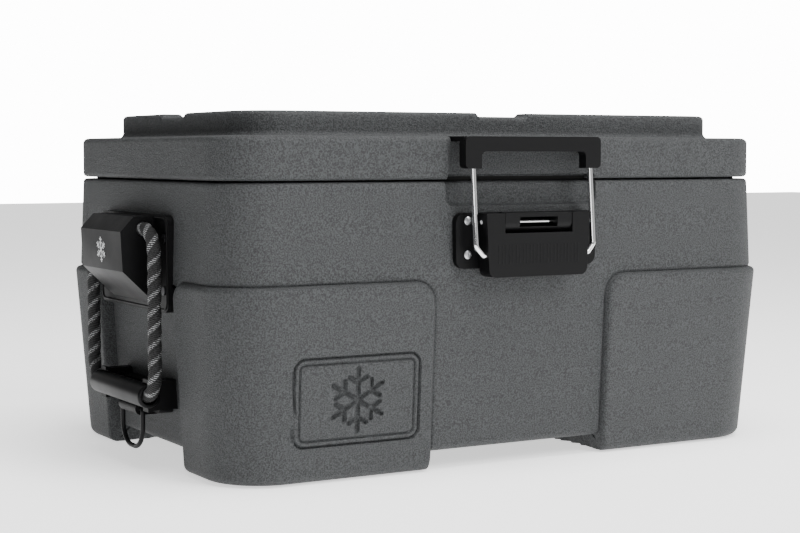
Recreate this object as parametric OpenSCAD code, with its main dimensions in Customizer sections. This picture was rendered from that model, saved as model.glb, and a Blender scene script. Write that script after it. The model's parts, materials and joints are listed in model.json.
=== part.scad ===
/* [Box] */
// Length of the box at its rim
body_l = 660; // [560:10:900]
// Width of the box at its rim
body_w = 438; // [380:2:620]
// Height of the rim above the floor
rim_z = 290.8; // [282:0.2:380]
// Corner radius at the rim
corner_r = 55; // [35:1:80]
// Lean of the upper walls, outwards towards the floor, in degrees
wall_lean = 1.83; // [0:0.01:3]
// Thickness of a wall or the floor: two skins with foam between them
wall_t = 42; // [34:1:55]
// Thickness of one moulded skin
skin = 4; // [3:0.5:5]
// Height of the underside between the corner blocks
belly_z = 18.5; // [12:0.5:24]
// Draft of the tub's walls, in degrees
tub_draft = 1.5; // [0.5:0.1:3]
// Corner radius of the tub
tub_r = 38; // [25:1:55]

/* [Corner blocks] */
// Height of the step on top of the corner blocks
step_z = 190.5; // [175:0.5:198]
// How far the corner blocks stand proud of the walls
block_proud = 6; // [4:0.5:9]
// Taper of the corner blocks towards the floor, in degrees
block_taper = 3.56; // [2:0.01:5]
// Corner radius of the corner blocks
block_r = 62; // [42:1:88]
// Gap between the corner blocks along the front and the back
front_gap = 212; // [140:2:280]
// Gap between the corner blocks at each end
end_gap = 202; // [196:2:240]
// How far each end wall is set back from the corner blocks
end_recess = 13; // [10:0.5:18]
// Size of one foot pad along the box
pad_l = 80; // [40:1:120]
// Size of one foot pad across the box
pad_w = 50; // [30:1:70]
// Thickness of a foot pad
pad_t = 3; // [2:0.5:3]
// How far a foot pad stands out below its corner block
pad_out = 1; // [0.5:0.5:2]

/* [Lid] */
// Gap between the rim and the lid
lid_gap = 1.8; // [1.2:0.1:3]
// Height of the lid's flange
flange_h = 43; // [38:0.5:55]
// Height of the raised deck above the flange
deck_h = 24.8; // [15:0.2:35]
// How far the deck is set in from the flange
deck_in = 36; // [24:1:50]
// Corner radius of the deck
deck_r = 50; // [25:1:70]
// Width of the raised border round the deck
border_w = 26; // [15:1:40]
// Height of the raised border
border_h = 3.8; // [2:0.2:8]
// Length of the break in the middle of each side of the border
break_l = 60; // [30:1:100]
// Depth of the lid's plug below the rim
plug_h = 12; // [6:1:20]
// Gap between the plug and the tub
plug_gap = 2.5; // [1.5:0.1:4]
// Width of the gasket
gasket_w = 12; // [6:1:16]

/* [Latch] */
// Height of the lever's pivot below the rim
pivot_drop = 40.8; // [38:0.2:44]
// Distance of the lever's pivot from the box
pivot_out = 20; // [19:0.5:24]
// Diameter of the lever's pivot pin
pivot_d = 4.5; // [3:0.5:5]
// Width of the lever at its top
lever_w = 126; // [110:1:140]
// Width of the lever at its bottom
lever_foot_w = 120; // [106:1:140]
// Length of the lever below its pivot
lever_l = 55; // [46:1:62]
// Thickness of the lever in front of its pivot
lever_front = 10.5; // [9:0.5:12]
// Width of the window in the lever
window_w = 82; // [60:1:90]
// Width of the base plate
base_w = 171; // [165:1:200]
// Thickness of the base plate
base_t = 9; // [7:0.5:9]
// Drop from the lever's pivot to the pivot of the rods
rod_drop = 33; // [26:1:36]
// Distance of the rods' pivot in front of the lever's pivot
rod_fwd = 5; // [2:0.5:6]
// Diameter of the rods
rod_d = 6; // [4:0.5:7]
// Width of the hook
hook_w = 165; // [155:1:180]
// Height of the hook's cross bar
hook_bar = 15; // [10:0.5:20]
// Length of the hook's legs
hook_leg = 32; // [24:0.5:36]
// Thickness of the hook's lip
lip_t = 5; // [3:0.5:6]
// How far the lip reaches back over the lid
lip_reach = 7.5; // [5:0.5:10]

/* [Hinges] */
// Distance of each hinge from the middle of the box
hinge_x = 190; // [120:5:230]
// Length of one hinge
hinge_l = 64; // [40:2:90]
// Distance of the hinge pin from the box
hinge_out = 11; // [9:0.5:14]
// Outer radius of the hinge's knuckles
knuckle_r = 6.5; // [5:0.5:7]
// Diameter of the hinge pin
hinge_pin_d = 5; // [3:0.5:6]
// Height of a hinge leaf
leaf_h = 34; // [24:1:36]
// Thickness of a hinge leaf
leaf_t = 5.5; // [4:0.5:6]

/* [End handles] */
// Depth of the rope's exit below the rim
exit_drop = 47.8; // [45:0.2:54]
// Distance of the rope from the box's end at the rim
rope_out = 20; // [18:0.5:24]
// Diameter of the rope
rope_d = 14; // [10:0.2:15]
// Width of the handle's mounting plate
mount_w = 189; // [180:1:194]
// How far the mounting plate stands out from the box's end
mount_out = 8; // [6:0.5:9]
// Width of the housing that holds the rope's ends
housing_w = 117.4; // [110:0.2:119]
// Depth of the housing in front of the mounting plate
housing_out = 36; // [34:0.5:42]
// Diameter of the grip
grip_d = 24; // [19:0.5:26]
// Bore of the grip
grip_bore = 17.4; // [15:0.2:18]
// Length of the grip
grip_l = 144; // [120:1:150]
// Width of the dock behind the grip
dock_w = 136; // [110:1:142]
// Outer radius of the dock's jaws
jaw_r = 16.5; // [16.5:0.5:20]
// Diameter of the tie-down loop's wire
loop_d = 5; // [4:0.5:6]
// Width of the tie-down loop between the middles of its legs
loop_w = 57; // [55:1:80]
// Height of the tie-down loop from its hinge to the middle of its foot
loop_h = 41.5; // [36:0.5:44]

/* [Drain] */
// Bore of the drain fitting
drain_bore = 16; // [12:1:20]
// Height of the drain's axis above the tub's floor
drain_rise = 5.5; // [4:0.5:8]
// Radius of the nut inside the tub
nut_r = 16; // [14:0.5:18]
// Radius of the drain fitting's flange
drain_flange_r = 20; // [18:0.5:24]

/* [Fits] */
// Gap between parts that move past each other
move_gap = 0.6; // [0.4:0.1:1]
// Radial gap between a pin and what turns on it
run_gap = 0.05; // [0.02:0.01:0.1]

/* [Hidden] */
$fn = 48;
eps = 0.01;
far = 2000;
thin = 0.02;

// Box: how far each wall moves in or out over its height
lean_in = (rim_z - step_z) * tan(wall_lean);
block_in = (step_z - pad_out) * tan(block_taper);
core_in = (step_z - belly_z) * tan(block_taper);
step_l = body_l + 2 * lean_in;
step_w = body_w + 2 * lean_in;
end_set = end_recess - block_proud;
// The upper walls run down into the lower ones, which are set in a little under them
wall_lap = 5;
core_set = 0.4;
port_r = 12;
tub_floor = belly_z + wall_t;
tub_l = body_l - 2 * wall_t;
tub_w = body_w - 2 * wall_t;

// Lid
lid_z = rim_z + lid_gap;
flange_z = lid_z + flange_h;
deck_z = flange_z + deck_h;
gasket_in = (wall_t - gasket_w) / 2;
gasket_seat = 3;

// Latch, in x, distance out from the box, and height
pivot_z = rim_z - pivot_drop;
lever_face = pivot_out + lever_front;
lever_top = 9;
lever_back = 8;
lever_turn_r = pivot_out - base_t - move_gap - 0.4;
window_drop = 11;
lug_w = window_w - 2 * move_gap;
lug_r = window_drop - move_gap - 0.4;
slot_w = 46;
base_top = pivot_z + 9.5;
base_h = 56;
rod_z = pivot_z - rod_drop;
rod_p = pivot_out + rod_fwd;
rod_x = hook_w / 2 - 11;
hook_back = 10;
hook_front = 22;
rod_top_p = (hook_back + hook_front) / 2 + 0.2;
rod_stub = 12;
pocket_w = 185;
pocket_h = 25;
pocket_d = 6.5;
lid_recess_w = 180;
lid_recess_d = 5;
lid_notch_h = 5;
lid_notch_d = 12;
latch_screw_x = 72;
latch_screw_up = 3;
latch_screw_dz = 17;

// Hinges, in x, distance out from the back, and height
hinge_z = rim_z + lid_gap / 2;
knuckle_gap = 0.5;
side_knuckle_l = hinge_l / 4;
mid_knuckle_l = hinge_l - 2 * side_knuckle_l - 2 * knuckle_gap;
leaf_clear = 6;
leaf_head_r = 4;
// The arms of the body's leaf start just above its upper screws' heads
arm_foot = leaf_clear - leaf_h / 4 + leaf_head_r + 0.5;

// Handles, in distance out from the end, y, and height
exit_z = rim_z - exit_drop;
rope_drop = 168;
grip_z = exit_z - rope_drop;
mount_top = 14;
mount_bottom = 83;
housing_top = 12.5;
ferrule_r = 9;
ferrule_in = 38;
ferrule_out = 52;
housing_wall = 6;
jaw_t = 14;
dock_h = 30;
loop_out = 10.5;
loop_z = grip_z - grip_d / 2 - 7;
loop_r = 24;
barrel_r = 6.5;
barrel_l = loop_w - 2 * 4.5;

// The rope's route on one side, across from the middle and down from its exit
ROPE_HALF = [[40, 0], [50, 0], [60, 0], [66, -0.2], [72.5, -2], [80.5, -7], [85.5, -15], [87.5, -24],
    [87.5, -50], [87.5, -84], [87.5, -118], [87.5, -144], [85.5, -153], [80.5, -161], [72.5, -166],
    [66, -167.8], [60, -168], [36, -168], [12, -168]];
rope_n = len(ROPE_HALF);
ROPE = concat(ROPE_HALF, [for (i = [rope_n - 1:-1:0]) [-ROPE_HALF[i][0], ROPE_HALF[i][1]]]);
rope_sides = 12;

// Drain, in x, distance out from the middle of the box, and height
drain_z = tub_floor + drain_rise;
drain_tube_r = drain_bore / 2 + 3;
drain_wall = step_w / 2 - (step_z - drain_z) * tan(block_taper);
drain_seat = drain_wall - 3.5;
tub_wall_y = tub_w / 2 - (rim_z - drain_z) * tan(tub_draft);
nut_seat = tub_wall_y + 1.2;
nut_t = 7;
drain_flange_t = 4;
washer_t = 2;
seal_t = 1.5;
plug_head_r = 17;
plug_head_t = 7;
sump_w = 2 * nut_r + 20;
sump_l = 46;
sump_z = drain_z - nut_r - 2;

// The object is centred between the latch's face and the hinges' knuckles
y_shift = (lever_face - hinge_out - knuckle_r) / 2;

GREY = "#5f6264";
BLACK = "#2b2b2c";
STEEL = "#c4c6c8";
FOAM = "#e6dfc2";

// Helpers: places
module at_front() translate([0, -body_w / 2, 0]) mirror([0, 1, 0]) children();
module at_back() translate([0, body_w / 2, 0]) children();
module at_left() translate([-body_l / 2, 0, 0]) mirror([1, 0, 0]) children();
module at_right() translate([body_l / 2, 0, 0]) children();
module centred() translate([0, y_shift, 0]) children();
module both_x(x) for (s = [-1, 1]) translate([s * x, 0, 0]) children();

// Helpers: shapes
module round_rect(l, w, r) {
    square([l - 2 * r, w], center = true);
    square([l, w - 2 * r], center = true);
    for (x = [-1, 1], y = [-1, 1]) translate([x * (l / 2 - r), y * (w / 2 - r)]) circle(r);
}

// A rounded block, and one whose walls move out by grow from its bottom to its top
module slab(l, w, r, h) linear_extrude(h) round_rect(l, w, r);
module drafted_slab(l, w, r, h, grow) hull() {
    linear_extrude(thin) round_rect(l, w, r, $fn = 32);
    translate([0, 0, h - thin]) linear_extrude(thin) round_rect(l + 2 * grow, w + 2 * grow, r, $fn = 32);
}

// Extrudes a drawing of y and z along x, and one of x and z along y
module along_x(l) rotate([90, 0, 90]) linear_extrude(l, center = true) children();
module along_y(y0, y1) translate([0, y1, 0]) rotate([90, 0, 0]) linear_extrude(y1 - y0) children();
module x_pin(d, l) rotate([0, 90, 0]) cylinder(d = d, h = l, center = true);
module y_pin(r, y0, y1) translate([0, y1, 0]) rotate([90, 0, 0]) cylinder(r = r, h = y1 - y0);

// A pan-head screw that points along -y, with its head's seat at the origin
module screw(len, head_r = 4.5, head_h = 2.2, d = 4.2) {
    y_pin(head_r, 0, head_h);
    y_pin(d / 2, -len, eps);
}

// Box walls, t in from the outside
module upper_walls(t) {
    grow = lean_in + wall_lap * tan(wall_lean);
    translate([0, 0, step_z - wall_lap + t])
        drafted_slab(body_l + 2 * (grow - t), body_w + 2 * (grow - t), corner_r - t,
            rim_z - step_z + wall_lap - 2 * t, -grow);
}
module core_walls(t) translate([0, 0, belly_z + t])
    drafted_slab(step_l - 2 * (end_set + core_in + t), step_w - 2 * (core_in + core_set + t), corner_r - t,
        step_z - belly_z - 1, core_in);
module block_plan(in, t) {
    x = step_l / 2 + block_proud - in - t;
    y = step_w / 2 + block_proud - in - t;
    r = block_r - t;
    // The skin is twice as thick beside the gaps, where it folds in
    gap_x = front_gap / 2 + 2 * t;
    gap_y = end_gap / 2 + 2 * t;
    translate([gap_x, gap_y]) {
        square([x - gap_x, y - gap_y - r]);
        square([x - gap_x - r, y - gap_y]);
    }
    // Only the outer quarter of the circle, so that it stays on its own side of the gaps
    translate([x - r, y - r]) intersection() {
        circle(r, $fn = 32);
        square(r + 1);
    }
}
module blocks(t) for (mx = [0, 1], my = [0, 1]) mirror([mx, 0, 0]) mirror([0, my, 0]) hull() {
    translate([0, 0, pad_out + t]) linear_extrude(thin) block_plan(block_in, t);
    translate([0, 0, step_z - t]) linear_extrude(thin) block_plan(0, t);
}
module walls(t = 0) {
    upper_walls(t);
    core_walls(t);
    blocks(t);
}

// The tub and its sump, g out from their skins
module tub(g = 0) {
    h = rim_z + 1 - tub_floor + g;
    draft = h * tan(tub_draft);
    translate([0, 0, tub_floor - g])
        drafted_slab(tub_l + 2 * (g - draft), tub_w + 2 * (g - draft), tub_r + g, h, draft);
    translate([0, tub_wall_y - sump_l / 2, sump_z - g])
        drafted_slab(sump_w + 2 * g - 8, sump_l + 2 * g - 8, 8 + g, wall_t, 4);
}

// The finger pocket under the lid
module finger_pocket(g = 0) at_front() along_y(-pocket_d - g, wall_t) {
    translate([0, rim_z - pocket_h / 2]) round_rect(pocket_w + 2 * g, pocket_h + 2 * g, 10 + g);
    translate([-pocket_w / 2 - g, rim_z - pocket_h / 2]) square([pocket_w + 2 * g, pocket_h + g]);
}

// Seats for the drain, on the outside and inside of the back wall
module drain_seats(g = 0) translate([0, 0, drain_z]) {
    y_pin(drain_flange_r + 2 + g, drain_seat - g, drain_seat + wall_t);
    y_pin(nut_r + 1.5 + g, nut_seat - wall_t / 3, nut_seat + g);
}

module body_foam() color(FOAM) difference() {
    walls(skin);
    tub(skin);
    finger_pocket(skin);
    drain_seats(skin);
    translate([0, 0, drain_z]) y_pin(drain_tube_r + skin, tub_wall_y - wall_t, far);
}

// The port in the underside that the foam is poured through, and its plug
module foam_port(r, z0, z1) translate([-front_gap / 4, 0, z0]) cylinder(r = r, h = z1 - z0);
module foam_port_plug() color("#1c1c1c") {
    foam_port(port_r, belly_z, belly_z + skin);
    foam_port(port_r + 5, belly_z - 2, belly_z);
}

module foot_places() for (x = [-1, 1], y = [-1, 1])
    translate([x * (body_l / 2 - pad_l / 2 - 60), y * (body_w / 2 - pad_w / 2 - 28), 0]) children();
module foot_pads() color("#202020") foot_places() linear_extrude(pad_t) round_rect(pad_l, pad_w, 10);

module body_shell() color(GREY) difference() {
    walls();
    body_foam();
    tub();
    finger_pocket();
    drain_seats();
    translate([0, 0, drain_z]) y_pin(drain_tube_r, tub_wall_y - wall_t, far);
    foam_port(port_r, 0, belly_z + skin + 1);
    foot_pads();
}

// Lid: flange, deck and plug, t in from the outside
module lid_block(t = 0) {
    translate([0, 0, lid_z + t]) slab(body_l - 2 * t, body_w - 2 * t, corner_r - t, flange_h - 2 * t);
    translate([0, 0, lid_z + t])
        slab(body_l - 2 * (deck_in + t), body_w - 2 * (deck_in + t), deck_r - t,
            deck_z - border_h - lid_z - 2 * t);
    translate([0, 0, lid_z - plug_h + t])
        slab(tub_l - 2 * (plug_gap + t), tub_w - 2 * (plug_gap + t), tub_r - plug_gap - t, plug_h + 1);
}
// Room in the lid for the latch's hook, and a finger notch under it, g out from the skin
module lid_front_cuts(g = 0) at_front() {
    along_y(-lid_recess_d - g, far) translate([-lid_recess_w / 2 - g, lid_z - 1])
        square([lid_recess_w + 2 * g, flange_h + 2]);
    along_y(-lip_reach - 2 - g, far) translate([-hook_w / 2 - 1.5 - g, flange_z - lip_t - move_gap - g])
        square([hook_w + 3 + 2 * g, lip_t + 2 + g]);
    along_y(-lid_notch_d - g, far) translate([-lid_recess_w / 2 - g, lid_z - 1])
        square([lid_recess_w + 2 * g, lid_notch_h + 1 + g]);
}
module lid_foam() color(FOAM) difference() {
    lid_block(skin);
    lid_front_cuts(skin);
    gasket_ring(lid_z, skin + gasket_seat, skin);
}
module deck_border() translate([0, 0, deck_z - border_h - 1]) difference() {
    slab(body_l - 2 * deck_in, body_w - 2 * deck_in, deck_r, border_h + 1);
    translate([0, 0, 1])
        slab(body_l - 2 * (deck_in + border_w), body_w - 2 * (deck_in + border_w), deck_r - border_w / 2,
            border_h + 1);
    translate([-break_l / 2, -body_w, 1]) cube([break_l, 2 * body_w, border_h + 1]);
    translate([-body_l, -break_l / 2, 1]) cube([2 * body_l, break_l, border_h + 1]);
}
module gasket_ring(z, h, g = 0) translate([0, 0, z]) difference() {
    slab(body_l - 2 * (gasket_in - g), body_w - 2 * (gasket_in - g), corner_r - gasket_in + g, h);
    translate([0, 0, -1])
        slab(body_l - 2 * (gasket_in + gasket_w + g), body_w - 2 * (gasket_in + gasket_w + g),
            corner_r - gasket_in - gasket_w - g, h + 2);
}
module lid_gasket() color("#1c1c1c") gasket_ring(rim_z + 0.3, lid_gap - 0.3 + gasket_seat);
module lid_shell() color(GREY) difference() {
    union() {
        lid_block();
        deck_border();
    }
    lid_foam();
    lid_front_cuts();
    gasket_ring(lid_z - 1, gasket_seat + 1);
}

// Hinges. Both leaves are drawn about the middle of one hinge
module leaf_screws() for (x = [-1, 0, 1], z = [-1, 1])
    if (x != 0 || z > 0) translate([x * hinge_l / 3, leaf_t, z * leaf_h / 4]) children();
module leaf_plate(z) difference() {
    translate([0, 0, z]) along_y(-wall_t / 4, leaf_t) round_rect(hinge_l, leaf_h, 5);
    translate([0, 0, z]) leaf_screws() y_pin(2.25, -wall_t, far);
}
body_leaf_z = rim_z - leaf_clear - leaf_h / 2;
lid_leaf_z = lid_z + leaf_clear + leaf_h / 2;
module knuckle(x, l) translate([x, hinge_out, hinge_z]) x_pin(2 * knuckle_r, l);
module body_leaf() difference() {
    union() {
        leaf_plate(body_leaf_z);
        both_x((hinge_l - side_knuckle_l) / 2) {
            knuckle(0, side_knuckle_l);
            along_x(side_knuckle_l) translate([0, rim_z - 2 * leaf_clear]) {
                square([leaf_t, 2 * leaf_clear - 0.4]);
                polygon([[0, 0], [leaf_t, arm_foot], [hinge_out + 1, leaf_clear + 0.6], [hinge_out, 11], [0, 11]]);
            }
        }
    }
    translate([0, hinge_out, hinge_z]) x_pin(hinge_pin_d, far);
    translate([0, -body_w / 2, 0]) walls();
}
module lid_leaf() difference() {
    union() {
        difference() {
            leaf_plate(lid_leaf_z);
            translate([0, -far / 2, 0]) cube([far, far, far], center = true);
        }
        knuckle(0, mid_knuckle_l);
        along_x(mid_knuckle_l) translate([0, lid_z]) polygon([[0, 0.4], [hinge_out, 0.4],
            [hinge_out + 1, leaf_clear - 1], [leaf_t, 2 * leaf_clear], [0, 2 * leaf_clear]]);
    }
    translate([0, hinge_out, hinge_z]) x_pin(hinge_pin_d + 2 * run_gap, far);
}
module hinge_pin() translate([0, hinge_out, hinge_z]) x_pin(hinge_pin_d, hinge_l);
module at_hinge(side) at_back() translate([side * hinge_x, 0, 0]) children();
module hinge_screws(z) for (s = [-1, 1]) at_hinge(s) translate([0, 0, z]) leaf_screws() screw(18, leaf_head_r, 2);

// Latch
module at_pivot() translate([0, pivot_out, pivot_z]) children();
module rod_line(r, z0, z1) {
    lean = (rod_top_p - rod_p) / (flange_z - hook_bar - rod_z);
    translate([0, rod_p + lean * z0, rod_z + z0]) rotate([-atan(lean), 0, 0])
        cylinder(r = r, h = (z1 - z0) / cos(atan(lean)));
}
rod_len = flange_z - rod_z - lip_t - 4;
module latch_screw_places() for (x = [-1, 1], z = [-1, 1])
    translate([x * latch_screw_x, base_t, base_top - base_h / 2 + latch_screw_up + z * latch_screw_dz])
        children();
module latch_base() color(BLACK) at_front() difference() {
    union() {
        along_y(-wall_t / 4, base_t) translate([0, base_top - base_h / 2]) round_rect(base_w, base_h, 10);
        // The lug is round below, where the lever turns about it, and square above
        at_pivot() x_pin(2 * lug_r, lug_w);
        at_pivot() translate([-lug_w / 2, 0, 0]) cube([lug_w, lug_r, lever_top + 0.4]);
        at_pivot() translate([0, (base_t - pivot_out) / 2, 0])
            cube([lug_w, pivot_out - base_t, 2 * lug_r - 3], center = true);
    }
    at_pivot() x_pin(pivot_d, far);
    translate([-slot_w / 2, base_t, pivot_z - 5]) cube([slot_w, far, 10]);
    latch_screw_places() y_pin(2.25, -wall_t, far);
    translate([0, -body_w / 2, 0]) walls();
}
module latch_screws() color(STEEL) at_front() latch_screw_places() screw(20, 4.2, 1.8);
module latch_pivot_pin() color(STEEL) at_front() at_pivot() x_pin(pivot_d, lever_w);
module lever_outline() difference() {
    union() {
        polygon([[-lever_w / 2, pivot_z + lever_top], [lever_w / 2, pivot_z + lever_top],
            [lever_foot_w / 2, pivot_z - lever_l + 8], [lever_foot_w / 2 - 8, pivot_z - lever_l],
            [8 - lever_foot_w / 2, pivot_z - lever_l], [-lever_foot_w / 2, pivot_z - lever_l + 8]]);
        both_x(lever_foot_w / 2 - 8) translate([0, pivot_z - lever_l + 8]) circle(8);
    }
    translate([-window_w / 2, pivot_z - window_drop]) square([window_w, far]);
}
module lever_side() {
    difference() {
        translate([pivot_out - lever_back, pivot_z - lever_l])
            square([lever_back + lever_front, lever_l + lever_top]);
        translate([0, pivot_z]) square([pivot_out, far]);
    }
    translate([pivot_out, pivot_z]) circle(min(lever_turn_r, lever_top + 0.9));
}
module latch_lever() color(BLACK) at_front() difference() {
    intersection() {
        along_x(far) lever_side();
        along_y(0, far) lever_outline();
    }
    at_pivot() x_pin(pivot_d + 2 * run_gap, far);
    both_x(lever_w / 2) translate([0, rod_p, rod_z]) x_pin(rod_d + 2 * run_gap, 2 * rod_stub + 2);
    translate([18 - lever_foot_w / 2, pivot_out - lever_back - 1, pivot_z - window_drop - 26])
        cube([lever_foot_w - 36, lever_back + 6, 20]);
}
module rod_lines(r, z1) both_x(rod_x) rod_line(r, 0, z1);
module latch_rods() color(STEEL) at_front() {
    rod_lines(rod_d / 2, rod_len);
    both_x(rod_x) translate([0, rod_p, rod_z]) sphere(rod_d / 2);
    for (s = [-1, 1]) translate([s * (lever_w / 2 - rod_stub + rod_x) / 2, rod_p, rod_z])
        x_pin(rod_d, rod_x - lever_w / 2 + rod_stub);
}
module latch_hook() color(BLACK) at_front() difference() {
    union() {
        along_y(hook_back, hook_front) difference() {
            translate([0, flange_z - hook_leg / 2]) round_rect(hook_w, hook_leg, 5);
            translate([0, flange_z - hook_bar - hook_leg / 2]) round_rect(hook_w - 38, hook_leg, 5);
        }
        translate([-hook_w / 2, -lip_reach, flange_z - lip_t]) cube([hook_w, lip_reach + hook_front - 4, lip_t]);
    }
    rod_lines(rod_d / 2, rod_len);
}

// One end: distance out from the box's end at the rim, y, and height
module mount_screw_places() for (y = [-1, 1], z = [-1, 1])
    translate([mount_out, y * (mount_w / 2 - 9), exit_z - 35 + z * 26]) rotate([0, 0, -90]) children();
module housing_side() {
    face = mount_out + housing_out;
    polygon([[-end_recess, exit_z + housing_top], [mount_out + 22, exit_z + housing_top],
        [face, exit_z - 2.5], [face - 2, exit_z - 42.5], [mount_out, exit_z - mount_bottom + 8],
        [-end_recess, exit_z - mount_bottom + 8]]);
}
// The room inside the housing, which follows its sloping underside
module housing_room() {
    face = mount_out + housing_out - housing_wall;
    polygon([[-far, exit_z - 14], [face, exit_z - 14], [face - 2, exit_z - 39],
        [mount_out, exit_z - mount_bottom + 17], [-far, exit_z - mount_bottom + 17]]);
}
module side_extrude(w) rotate([90, 0, 0]) linear_extrude(w, center = true) children();
module handle_mount() color(BLACK) difference() {
    union() {
        rotate([90, 0, 90]) translate([0, exit_z + (mount_top - mount_bottom) / 2, -end_recess])
            linear_extrude(mount_out + end_recess) round_rect(mount_w, mount_top + mount_bottom, 10);
        side_extrude(housing_w) housing_side();
    }
    // Room for the rope's ends, and for the ferrules that hold them
    translate([rope_out, 0, exit_z]) rotate([90, 0, 0]) {
        cylinder(r = rope_d / 2 + 0.35, h = housing_w + 2, center = true);
        cylinder(r = ferrule_r + 0.5, h = housing_w - 2 * housing_wall, center = true);
    }
    // The housing is hollow below the rope, and open towards the box
    side_extrude(housing_w - 2 * housing_wall) housing_room();
    mount_screw_places() y_pin(2.25, -far, far);
    translate([-body_l / 2, 0, 0]) walls();
}
module handle_screws() color(STEEL) mount_screw_places() screw(24);
function rope_dir(i) = let (a = ROPE[max(i - 1, 0)], b = ROPE[min(i + 1, len(ROPE) - 1)]) (b - a) / norm(b - a);
module handle_rope() color("#3a3a3a") translate([rope_out, 0, exit_z]) {
    rings = len(ROPE);
    points = [for (i = [0:rings - 1], k = [0:rope_sides - 1])
        let (t = rope_dir(i), a = k * 360 / rope_sides, r = rope_d / 2)
            [r * cos(a), ROPE[i][0] - t[1] * r * sin(a), ROPE[i][1] + t[0] * r * sin(a)]];
    sides = [for (i = [0:rings - 2], k = [0:rope_sides - 1]) let (n = (k + 1) % rope_sides)
        [i * rope_sides + k, i * rope_sides + n, (i + 1) * rope_sides + n, (i + 1) * rope_sides + k]];
    ends = [[for (k = [rope_sides - 1:-1:0]) k], [for (k = [0:rope_sides - 1]) (rings - 1) * rope_sides + k]];
    polyhedron(points, concat(sides, ends), convexity = 6);
}
module rope_ferrules() color(STEEL) for (s = [0, 1]) mirror([0, s, 0]) translate([rope_out, 0, exit_z])
    difference() {
        y_pin(ferrule_r, ferrule_in, ferrule_out);
        y_pin(rope_d / 2, ROPE_HALF[0][0], far);
    }
module handle_grip() color(BLACK) translate([rope_out, 0, grip_z]) rotate([90, 0, 0]) difference() {
    cylinder(d = grip_d, h = grip_l, center = true);
    cylinder(d = grip_bore, h = grip_l + 2, center = true);
}
module dock_screw_places() for (y = [-1, 1])
    translate([3, y * dock_w / 4, grip_z]) rotate([0, 0, -90]) children();
module grip_dock() color(BLACK) difference() {
    union() {
        rotate([90, 0, 90]) translate([0, grip_z - 6, -end_recess - core_in])
            linear_extrude(end_recess + core_in + 3) round_rect(dock_w - 2 * jaw_t + 4, dock_h, 6);
        for (s = [-1, 1]) translate([0, s * (dock_w - jaw_t) / 2, 0]) side_extrude(jaw_t) {
            translate([rope_out, grip_z]) circle(jaw_r);
            translate([-end_recess - core_in, grip_z - dock_h / 2])
                square([rope_out + end_recess + core_in, dock_h]);
        }
        // Barrel that the tie-down loop turns in, and its arm
        translate([loop_out, 0, loop_z]) y_pin(barrel_r, -barrel_l / 2, barrel_l / 2);
        translate([-end_recess, -barrel_l / 2, loop_z - barrel_r]) cube([end_recess + loop_out, barrel_l, barrel_r]);
    }
    // The jaws are open outwards, so the grip lifts straight out
    translate([rope_out, 0, grip_z]) y_pin(grip_d / 2 + move_gap, -far, far);
    translate([rope_out, -far / 2, grip_z - grip_d / 2 - move_gap]) cube([far, far, grip_d + 2 * move_gap]);
    translate([rope_out, -far / 2, 0]) cube(far);
    translate([loop_out, 0, loop_z]) y_pin(loop_d / 2 + run_gap, -far, far);
    dock_screw_places() y_pin(2.25, -far, far);
    translate([-body_l / 2, 0, 0]) walls();
}
module dock_screws() color(STEEL) dock_screw_places() screw(34, 4.2, 2);
module loop_corner() rotate([90, 0, 90]) rotate_extrude(angle = 90) translate([loop_r, 0]) circle(d = loop_d);
module tie_loop() color("#1d1d1e") translate([loop_out, 0, loop_z]) {
    half = loop_w / 2;
    for (s = [0, 1]) mirror([0, s, 0]) {
        y_pin(loop_d / 2, half - 14, half);
        translate([0, half, 0]) sphere(d = loop_d);
        translate([0, half, -loop_h + loop_r]) cylinder(d = loop_d, h = loop_h - loop_r);
        translate([0, half - loop_r, -loop_h + loop_r]) rotate([-90, 0, 0]) loop_corner();
    }
    translate([0, 0, -loop_h]) y_pin(loop_d / 2, loop_r - half, half - loop_r);
}

// Drain: distance out from the middle of the box
module at_drain() translate([0, 0, drain_z]) children();
module drain_fitting() color(BLACK) at_drain() difference() {
    union() {
        y_pin(drain_tube_r, nut_seat - nut_t - 2, drain_seat + washer_t + 1);
        y_pin(drain_flange_r, drain_seat + washer_t, drain_seat + washer_t + drain_flange_t);
    }
    y_pin(drain_bore / 2, 0, far);
}
module drain_washer() color("#1c1c1c") at_drain() difference() {
    y_pin(drain_flange_r - 1, drain_seat, drain_seat + washer_t);
    y_pin(drain_tube_r, 0, far);
}
module drain_nut() color(BLACK) at_drain() difference() {
    y_pin(nut_r, nut_seat - nut_t, nut_seat);
    y_pin(drain_tube_r, 0, far);
    for (a = [0:45:315]) rotate([0, a, 0]) translate([nut_r + 1.5, 0, 0]) y_pin(3, 0, far);
}
plug_y = drain_seat + washer_t + drain_flange_t + 0.2;
module drain_plug() color(BLACK) at_drain() {
    y_pin(drain_bore / 2 - run_gap, plug_y - 22, plug_y + seal_t + 1);
    y_pin(plug_head_r, plug_y + seal_t, plug_y + seal_t + plug_head_t);
    translate([-12, plug_y + seal_t + 1, -3]) cube([24, plug_head_t + 4, 6]);
}
module drain_seal() color("#1c1c1c") at_drain() difference() {
    y_pin(drain_bore / 2 + 4, plug_y, plug_y + seal_t);
    y_pin(drain_bore / 2 - run_gap, 0, far);
}

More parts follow.
